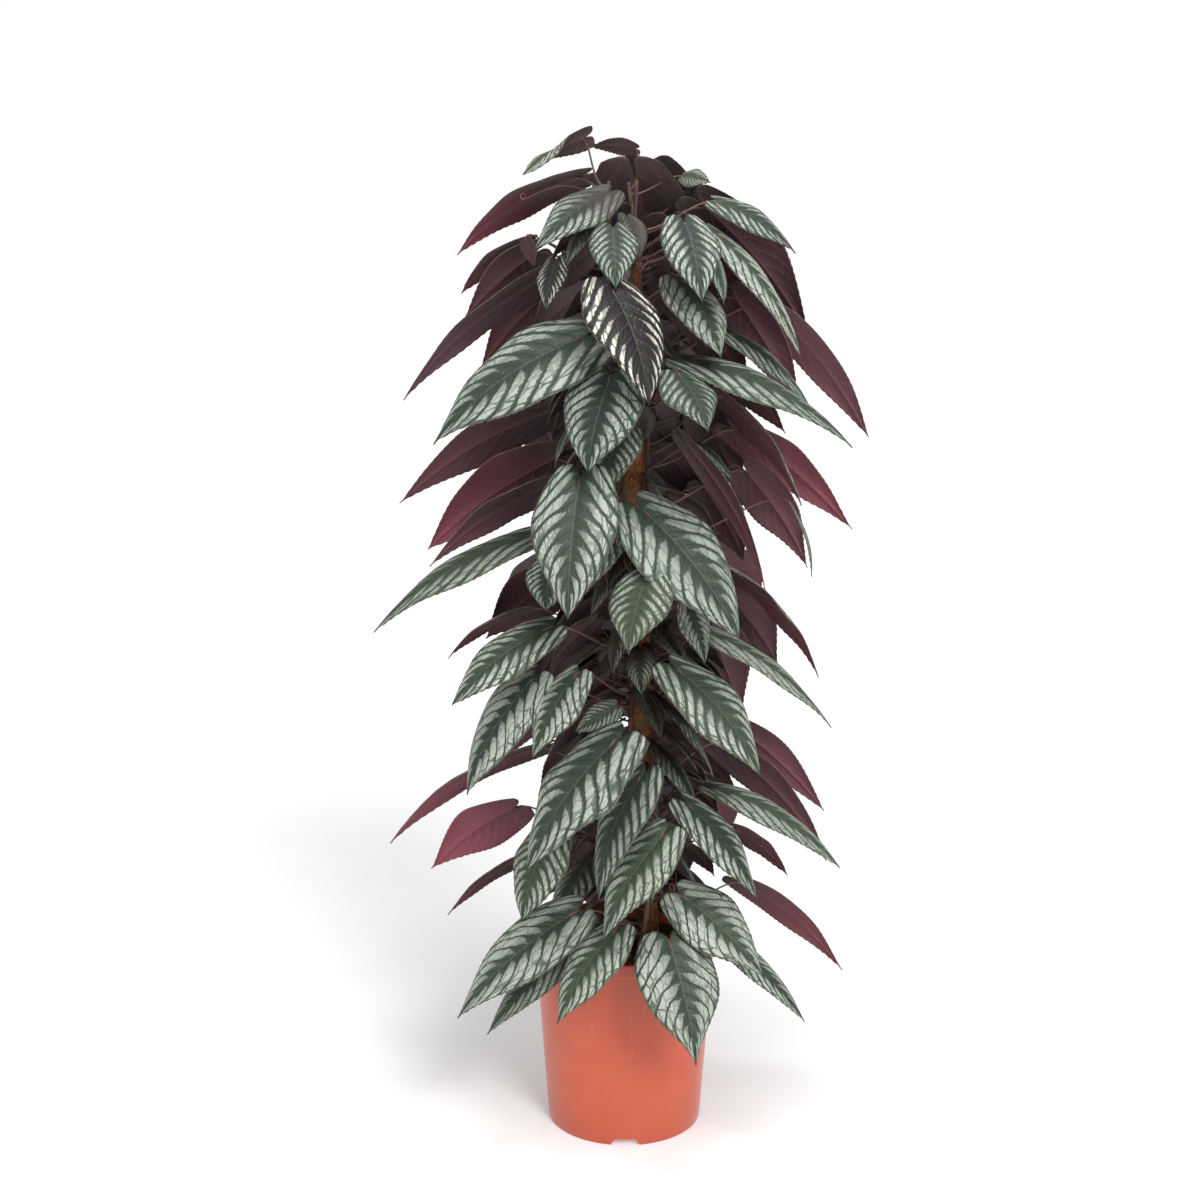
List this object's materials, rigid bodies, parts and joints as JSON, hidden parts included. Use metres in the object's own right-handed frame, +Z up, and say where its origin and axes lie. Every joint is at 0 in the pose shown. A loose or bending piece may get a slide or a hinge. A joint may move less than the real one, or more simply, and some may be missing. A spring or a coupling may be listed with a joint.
{
  "type": "potted rex begonia vine",
  "caption": "Climbing vine with long heart-shaped silver-banded leaves, grown round a slim coir pole in a round tapered plastic nursery pot.",
  "frame": {"origin": "middle of the pot's underside, on the surface that the pot stands on", "axes": "+Z up along the pot's axis, -Y towards the front, +X to the right seen from the front"},
  "size_m": [0.447, 0.3482, 0.9111],
  "materials": {
    "terracotta_plastic": "satin",
    "potting_soil": "matte",
    "stake_wood": "matte",
    "coir_fibre": "matte",
    "vine_bark": "satin",
    "leaf": "satin"
  },
  "bodies": {
    "root": {"coir_sleeve": "coir_fibre", "leaf_back_1": "leaf", "leaf_back_10": "leaf", "leaf_back_2": "leaf", "leaf_back_3": "leaf", "leaf_back_4": "leaf", "leaf_back_5": "leaf", "leaf_back_6": "leaf", "leaf_back_7": "leaf", "leaf_back_8": "leaf", "leaf_back_9": "leaf", "leaf_crown_1": "leaf", "leaf_crown_2": "leaf", "leaf_crown_3": "leaf", "leaf_crown_4": "leaf", "leaf_crown_5": "leaf", "leaf_crown_6": "leaf", "leaf_crown_7": "leaf", "leaf_crown_8": "leaf", "leaf_crown_9": "leaf", "leaf_lower_1": "leaf", "leaf_lower_10": "leaf", "leaf_lower_2": "leaf", "leaf_lower_3": "leaf", "leaf_lower_4": "leaf", "leaf_lower_5": "leaf", "leaf_lower_6": "leaf", "leaf_lower_7": "leaf", "leaf_lower_8": "leaf", "leaf_lower_9": "leaf", "leaf_middle_1": "leaf", "leaf_middle_2": "leaf", "leaf_middle_3": "leaf", "leaf_middle_4": "leaf", "leaf_middle_5": "leaf", "leaf_middle_6": "leaf", "leaf_skirt_1": "leaf", "leaf_skirt_2": "leaf", "leaf_skirt_3": "leaf", "leaf_skirt_4": "leaf", "leaf_upper_1": "leaf", "leaf_upper_10": "leaf", "leaf_upper_11": "leaf", "leaf_upper_12": "leaf", "leaf_upper_2": "leaf", "leaf_upper_3": "leaf", "leaf_upper_4": "leaf", "leaf_upper_5": "leaf", "leaf_upper_6": "leaf", "leaf_upper_7": "leaf", "leaf_upper_8": "leaf", "leaf_upper_9": "leaf", "pot": "terracotta_plastic", "soil": "potting_soil", "stake": "stake_wood", "vine_stem_1": "vine_bark", "vine_stem_2": "vine_bark", "vine_stem_3": "vine_bark"}
  },
  "joints": []
}
